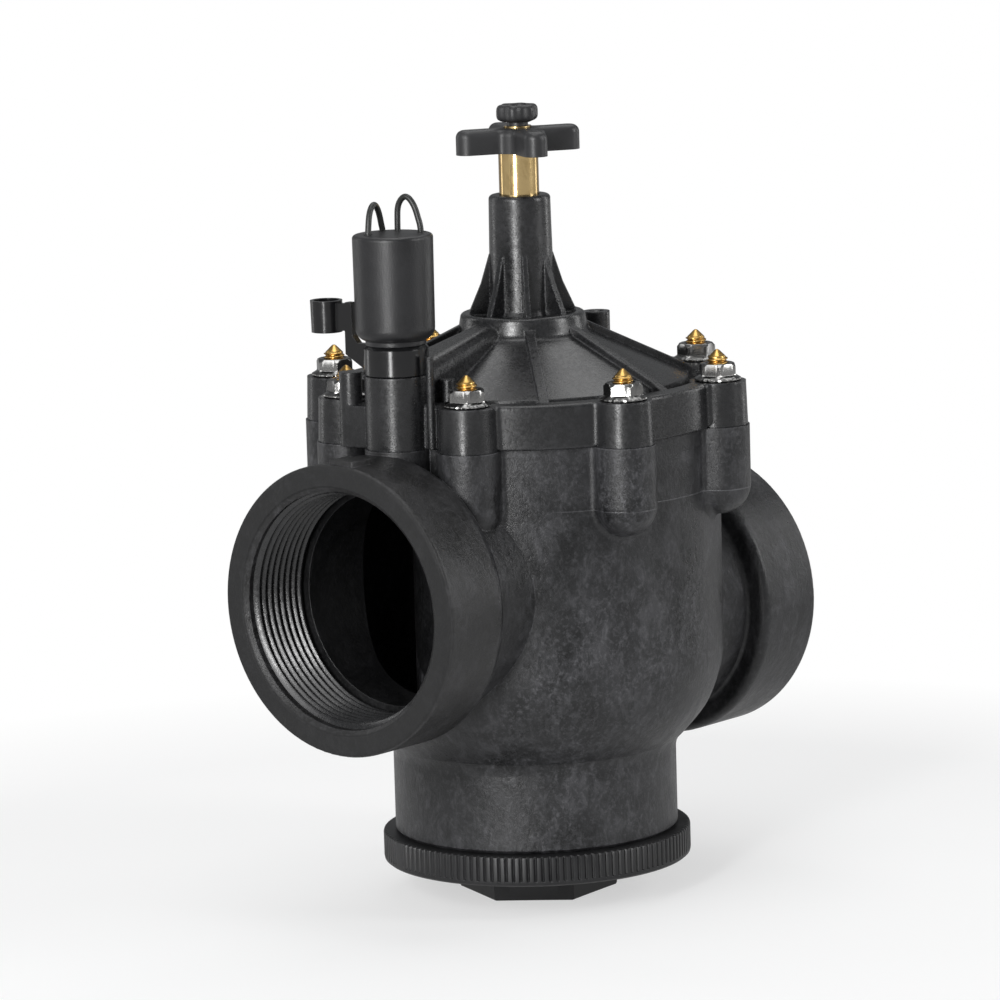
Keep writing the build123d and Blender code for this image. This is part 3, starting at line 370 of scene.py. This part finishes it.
def pipe_thread(name, face_x, inward, z0, root_r, crest, turns, seg=180):
    """A closed helical ridge standing inwards from the port wall. inward is the direction of travel along X, +1 or -1."""
    verts, faces = [], []
    rows = int(turns * seg) + 1
    prof = 8
    for i in range(rows):
        t = i / seg
        a = 2 * math.pi * t
        # thread fades in at the mouth and runs out at the inner end
        f = min(1.0, max(0.0, t / 0.5)) * min(1.0, max(0.0, (turns - t) / 0.9))
        h = crest * (0.06 + 0.94 * f)
        taper = (t * PITCH) / 32.0
        x = face_x + inward * (t * PITCH)
        half = PITCH * 0.5 * 0.96
        rr = root_r
        pts = [(-half, rr + 0.25), (-half * 0.94, rr - 0.04), (-0.30, rr - h + 0.10 - taper), (-0.18, rr - h - taper),
               (0.18, rr - h - taper), (0.30, rr - h + 0.10 - taper), (half * 0.94, rr - 0.04), (half, rr + 0.25)]
        for dx, r in pts:
            verts.append(((x + dx) * MM, r * math.cos(a) * MM, (z0 + r * math.sin(a)) * MM))
    for i in range(rows - 1):
        for j in range(prof):
            k = (j + 1) % prof
            faces.append((i * prof + j, i * prof + k, (i + 1) * prof + k, (i + 1) * prof + j))
    faces.append(tuple(range(prof)))
    faces.append(tuple((rows - 1) * prof + j for j in reversed(range(prof))))
    ob = new_object(name, verts, faces, M_THREAD, smooth=True, angle=38)
    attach(ob, "valve")
    return ob


pipe_thread("outlet_thread", 112.25 - 4.0, -1, 124.0, 44.1, 1.95, 8.35)
pipe_thread("inlet_thread", -108.9 + 4.0, 1, 100.0, 44.1, 1.95, 8.35)


# ---------------------------------------------------------------------------
# cover studs with rolled threads and conical points
# ---------------------------------------------------------------------------
BOLTS = [(75.0 * math.cos(math.radians(22.5 + 45 * k)), 75.0 * math.sin(math.radians(22.5 + 45 * k))) for k in range(8)]


def add_stud(verts, faces, cx, cy, z_lo, z_top, r, pitch, phase, seg=40, per=9):
    """One stud as a single closed skin whose radius follows the helix, with a blunt conical point."""
    base = len(verts)
    cone, depth = 2.7, 0.74
    z_thread = z_top - cone
    rows = []
    steps = int((z_thread - z_lo) / (pitch / per)) + 1
    for i in range(steps + 1):
        z = z_lo + (z_thread - z_lo) * i / steps
        rows.append((z, None, min(1.0, (z_thread - z) / 0.45)))
    for t in (0.04, 0.2, 0.4, 0.6, 0.78, 0.90, 0.96, 1.0):
        rows.append((z_thread + cone * t, 3.30 - 2.45 * min(t, 0.90) / 0.90 - (0.0 if t <= 0.90 else (t - 0.90) / 0.10 * 0.45), 0.0))
    for z, rc, f in rows:
        for j in range(seg):
            a = 2 * math.pi * j / seg
            if rc is None:
                ph = ((z - z_lo) / pitch - j / seg + phase) % 1.0
                tri = abs(2 * ph - 1)
                rr = r - depth * (1 - min(1.0, max(0.0, tri * 1.5 - 0.2)) * f)
            else:
                rr = rc
            verts.append(((cx + rr * math.cos(a)) * MM, (cy + rr * math.sin(a)) * MM, z * MM))
    faces.extend(grid_faces(len(rows), seg, True, base))
    faces.append(tuple(base + j for j in reversed(range(seg))))
    faces.append(tuple(base + (len(rows) - 1) * seg + j for j in range(seg)))


vs, fs = [], []
for k, (bx, by) in enumerate(BOLTS):
    add_stud(vs, fs, bx, by, 158.0, 207.4, 3.95, 25.4 / 18.0, 0.37 * k)
studs = new_object("studs_threaded", vs, fs, M_STUD, smooth=True, angle=50)
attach(studs, "valve")
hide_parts("cover_studs")


# ---------------------------------------------------------------------------
# serrated flange nuts: chamfered hex on a dished, scalloped flange
# ---------------------------------------------------------------------------
def add_nut(verts, faces, cx, cy, z0, rot, seg=96):
    base = len(verts)
    af = 6.32
    fl = 8.62
    rows = []

    def hex_r(a):
        m = (a + math.pi / 6) % (math.pi / 3) - math.pi / 6
        return af / math.cos(m)

    def ring(z, fun):
        rows.append([(cx + fun(a) * math.cos(a + rot), cy + fun(a) * math.sin(a + rot), z(a) if callable(z) else z)
                     for a in [2 * math.pi * j / seg for j in range(seg)]])

    corner = af / math.cos(math.pi / 6)
    scal = lambda a: 0.16 * math.cos(24 * a)
    ring(z0, lambda a: 4.05)
    ring(z0, lambda a: 7.6)
    ring(lambda a: z0 + 0.10 + 0.10 * math.cos(24 * a), lambda a: fl - 0.35 + scal(a))
    ring(lambda a: z0 + 0.45, lambda a: fl + scal(a))
    ring(lambda a: z0 + 0.95, lambda a: fl - 0.03 + scal(a))
    ring(lambda a: z0 + 1.25, lambda a: fl - 0.45 + 0.6 * scal(a))
    ring(lambda a: z0 + 1.75, lambda a: max(hex_r(a) + 0.15, 7.35))
    ring(lambda a: z0 + 2.15, lambda a: hex_r(a) + 0.02)
    ring(lambda a: z0 + 2.6, hex_r)
    ring(lambda a: z0 + 6.6 - 0.50 - max(0.0, (hex_r(a) - af) / (corner - af)) * 0.75, hex_r)
    ring(lambda a: z0 + 6.6 - 0.14 - max(0.0, (hex_r(a) - af) / (corner - af)) * 0.30, lambda a: min(hex_r(a), af + 0.28) - 0.10)
    ring(z0 + 6.6, lambda a: af - 0.42)
    ring(z0 + 6.6, lambda a: 4.75)
    ring(z0 + 6.05, lambda a: 4.05)
    for row in rows:
        verts.extend([(x * MM, y * MM, z * MM) for x, y, z in row])
    faces.extend(grid_faces(len(rows), seg, True, base))
    last = base + (len(rows) - 1) * seg
    for j in range(seg):
        k = (j + 1) % seg
        faces.append((last + j, last + k, base + k, base + j))


vs, fs = [], []
NUT_ROT = [0.2, 0.52, 1.31, 0.7, 0.1, 0.9, 0.33, 0.61]
for k, (bx, by) in enumerate(BOLTS):
    add_nut(vs, fs, bx, by, 195.8, NUT_ROT[k])
nuts = new_object("nuts_serrated", vs, fs, M_NUT, smooth=True, angle=28)
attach(nuts, "valve")
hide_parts("flange_nuts")


# ---------------------------------------------------------------------------
# bottom plug: hex, knurled ring, hollow spigot
# ---------------------------------------------------------------------------
def plug_piece():
    teeth, per = 133, 8
    seg = teeth * per
    af = 26.0
    rot = math.radians(35.0)
    rows = []

    def hex_r(a):
        m = (a + math.pi / 6) % (math.pi / 3) - math.pi / 6
        return af / math.cos(m)

    def knurl(a, d):
        # flat-topped rib, rounded valley; a smooth patch opposite the outlet's left side
        ph = (a * teeth / (2 * math.pi)) % 1.0
        w = 0.5 - 0.5 * math.cos(2 * math.pi * ph)
        patch = 0.0
        da = (a - math.radians(-24.3) + math.pi) % (2 * math.pi) - math.pi
        if abs(da) < math.radians(2.9):
            patch = 1.0
        return d * (1 - min(1.0, w * 1.9)) * (1 - patch)

    def ring(z, fun):
        rows.append([(fun(a) * math.cos(a), fun(a) * math.sin(a), z) for a in [2 * math.pi * j / seg for j in range(seg)]])

    hx = lambda off: (lambda a: hex_r(a - rot) - off)
    ring(0.0, lambda a: 0.01)
    ring(0.0, hx(1.2))
    ring(0.35, hx(0.35))
    ring(1.1, hx(0.0))
    ring(11.6, hx(0.0))
    ring(12.3, hx(-0.5))
    ring(12.6, hx(-1.3))
    ring(12.6, lambda a: 56.6)
    ring(12.75, lambda a: 57.3)
    ring(13.5, lambda a: 58.2)
    ring(14.6, lambda a: 58.4)
    ring(15.0, lambda a: 58.4 - knurl(a, 0.75))
    ring(23.2, lambda a: 58.4 - knurl(a, 0.80))
    ring(23.8, lambda a: 58.2 - knurl(a, 0.80))
    ring(24.1, lambda a: 57.6 - knurl(a, 0.40))
    ring(24.1, lambda a: 56.4)
    ring(24.1, lambda a: 50.9)
    ring(21.3, lambda a: 50.9)
    ring(21.3, lambda a: 47.3)
    ring(24.1, lambda a: 47.3)
    ring(24.1, lambda a: 44.0)
    ring(50.0, lambda a: 44.0)
    ring(52.0, lambda a: 42.6)
    ring(52.0, lambda a: 37.0)
    ring(22.0, lambda a: 37.0)
    ring(22.0, lambda a: 0.01)
    verts = []
    for row in rows:
        verts.extend([(x * MM, y * MM, z * MM) for x, y, z in row])
    faces = grid_faces(len(rows), seg, True, 0)
    faces.append(tuple(reversed(range(seg))))
    faces.append(tuple((len(rows) - 1) * seg + j for j in range(seg)))
    ob = new_object("plug_knurled", verts, faces, M_PLUG, smooth=True, angle=34)
    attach(ob, "valve")
    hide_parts("bottom_plug")
    return ob


plug_piece()


# ---------------------------------------------------------------------------
# bleed knob: six soft lobes, hollow top, undercut foot and its screw shank
# ---------------------------------------------------------------------------
def knob_piece():
    seg = 240
    lobes = lambda a, k: k * (7.28 + 0.74 * math.cos(6 * (a - math.radians(25.0))))
    rows = []

    def ring(z, fun):
        rows.append([(fun(a) * math.cos(a), fun(a) * math.sin(a), z) for a in [2 * math.pi * j / seg for j in range(seg)]])

    for z, r in ((270.0, 0.02), (270.0, 1.0), (272.5, 3.0), (278.9, 3.0), (278.9, 2.02), (280.3, 2.02), (280.3, 3.0), (290.95, 3.0),
                 (290.95, 4.0), (292.35, 4.0)):
        ring(z, lambda a, r=r: r)
    ring(292.4, lambda a: lobes(a, 0.70))
    for z, k in ((292.75, 0.83), (293.3, 0.935), (294.0, 0.985), (294.8, 1.0), (296.6, 1.0), (297.5, 0.985), (298.2, 0.94), (298.6, 0.885),
                 (298.8, 0.82)):
        ring(z, lambda a, k=k: lobes(a, k))
    ring(298.8, lambda a: 5.0)
    ring(298.5, lambda a: 4.7)
    ring(296.8, lambda a: 4.6)
    ring(296.8, lambda a: 0.02)
    verts = [(x * MM, y * MM, z * MM) for row in rows for x, y, z in row]
    faces = grid_faces(len(rows), seg, True, 0)
    faces.append(tuple(reversed(range(seg))))
    faces.append(tuple((len(rows) - 1) * seg + j for j in range(seg)))
    ob = new_object("bleed_knob_lobed", verts, faces, M_HANDLE, smooth=True, angle=42)
    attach(ob, "bleed_screw")
    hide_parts("bleed_knob")
    return ob


knob_piece()


# ---------------------------------------------------------------------------
# soft and springy inner pieces: copies of the CAD meshes, the springs parented to their bodies and the diaphragm baked
# in place
# ---------------------------------------------------------------------------
def copy_of(node, name, mat):
    ob = bpy.data.objects.new(name, N[node].data.copy())
    ob.data.name = name
    ob.data.materials.clear()
    ob.data.materials.append(mat)
    bpy.context.scene.collection.objects.link(ob)
    return ob


dia = copy_of("diaphragm", "diaphragm_moulded", M_RUBBER)
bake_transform(dia)
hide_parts("diaphragm")

spr = copy_of("main_spring", "main_spring_coil", M_STEEL)
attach(spr, "valve")
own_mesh(spr)
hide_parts("main_spring")

psp = copy_of("plunger_spring", "plunger_spring_coil", M_STEEL)
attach(psp, "lever")
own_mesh(psp)
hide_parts("plunger_spring")


# ---------------------------------------------------------------------------
# stage: pale floor, soft lights, camera
# ---------------------------------------------------------------------------
scene = bpy.context.scene
scene.view_settings.view_transform = "Standard"
scene.view_settings.look = "None"
scene.view_settings.exposure = 0.0

world = bpy.data.worlds.new("studio")
scene.world = world
world.use_nodes = True
wn = world.node_tree
wn.nodes.clear()
w_out = wn.nodes.new("ShaderNodeOutputWorld")
w_mix = wn.nodes.new("ShaderNodeMixShader")
w_lp = wn.nodes.new("ShaderNodeLightPath")
w_amb = wn.nodes.new("ShaderNodeBackground")
w_cam = wn.nodes.new("ShaderNodeBackground")
w_amb.inputs[0].default_value = (0.96, 0.98, 1.0, 1)
w_amb.inputs[1].default_value = 0.22
w_cam.inputs[0].default_value = (1, 1, 1, 1)
w_cam.inputs[1].default_value = 1.0
wn.links.new(w_lp.outputs["Is Camera Ray"], w_mix.inputs[0])
wn.links.new(w_amb.outputs[0], w_mix.inputs[1])
wn.links.new(w_cam.outputs[0], w_mix.inputs[2])
wn.links.new(w_mix.outputs[0], w_out.inputs[0])

# camera
PHI, THETA, RHO = math.radians(39.204), math.radians(9.276), math.radians(-1.65)
DIST, U, TZ = 2206.58, -10.513, 25.331 + 124.0
back = Vector((math.cos(THETA) * math.cos(PHI), math.cos(THETA) * math.sin(PHI), math.sin(THETA)))
right0 = Vector((-math.sin(PHI), math.cos(PHI), 0))
up0 = back.cross(right0)
cr = right0 * math.cos(RHO) + up0 * math.sin(RHO)
cu = -right0 * math.sin(RHO) + up0 * math.cos(RHO)
pos = (Vector((0, 0, TZ)) + right0 * U + back * DIST) * MM
cam_data = bpy.data.cameras.new("camera")
cam_data.lens = 5846.04 * 36.0 / 1000.0
cam_data.sensor_width = 36.0
cam_data.clip_start = 0.05
cam_data.clip_end = 30.0
cam = bpy.data.objects.new("camera", cam_data)
scene.collection.objects.link(cam)
cam.matrix_world = Matrix(((cr.x, cu.x, back.x, pos.x), (cr.y, cu.y, back.y, pos.y), (cr.z, cu.z, back.z, pos.z), (0, 0, 0, 1)))
scene.camera = cam


def area(name, az_from_cam, el, dist, size_x, size_y, power, target=(0, 0, 0.14), color=(1, 1, 1)):
    """Softbox placed by azimuth from the camera's own azimuth, positive to the camera's right."""
    a = PHI + math.radians(az_from_cam)
    e = math.radians(el)
    t = Vector(target)
    p = t + Vector((math.cos(e) * math.cos(a), math.cos(e) * math.sin(a), math.sin(e))) * dist
    ld = bpy.data.lights.new(name, "AREA")
    ld.shape = "RECTANGLE"
    ld.size = size_x
    ld.size_y = size_y
    ld.energy = power
    ld.color = color
    ob = bpy.data.objects.new(name, ld)
    scene.collection.objects.link(ob)
    ob.location = p
    ob.rotation_euler = (t - p).to_track_quat("-Z", "Y").to_euler()
    return ob


area("key", -38, 24, 1.5, 0.95, 1.0, 8)
area("key_core", -21, 11, 1.5, 0.20, 1.0, 15)
area("fill", 76, 22, 1.6, 0.42, 1.0, 8.0)
area("overhead", 170, 58, 1.4, 1.1, 0.7, 3.8)
area("top", -10, 84, 1.3, 0.7, 0.7, 3.5)
area("rim_right", 118, 14, 1.4, 0.20, 1.1, 2.4)
area("rim_left", -116, 16, 1.4, 0.22, 1.1, 2.0)

fl = new_object("floor", [(-6, -6, 0), (6, -6, 0), (6, 6, 0), (-6, 6, 0)], [(0, 1, 2, 3)], M_NYLON, smooth=False)
ft = Tree("floor_pale")
ft.put(ft.bsdf.inputs["Base Color"], ft.mix(ft.noise(3.0, 2.0), (0.90, 0.90, 0.90, 1), (0.93, 0.93, 0.93, 1)))
ft.bsdf.inputs["Roughness"].default_value = 0.9
ft.bsdf.inputs["Specular IOR Level"].default_value = 0.1
# the floor melts into the white surround away from the valve
f_len = ft.n("ShaderNodeVectorMath", operation="LENGTH")
ft.link(ft.co, f_len.inputs[0])
f_fade = ft.ramp(f_len.outputs["Value"], 0.10, 0.42)
f_emit = ft.n("ShaderNodeEmission")
f_emit.inputs[0].default_value = (1, 1, 1, 1)
f_lp = ft.n("ShaderNodeLightPath")
ft.put(f_emit.inputs[1], ft.ramp(f_lp.outputs["Is Camera Ray"], 0.0, 1.0, 0.45, 1.0))
f_mix = ft.n("ShaderNodeMixShader")
ft.put(f_mix.inputs[0], ft.math("MAXIMUM", f_fade, 0.55))
ft.link(ft.bsdf.outputs[0], f_mix.inputs[1])
ft.link(f_emit.outputs[0], f_mix.inputs[2])
ft.link(f_mix.outputs[0], ft.out.inputs[0])
fl.data.materials.clear()
fl.data.materials.append(ft.mat)
fl.location.z = -0.0002
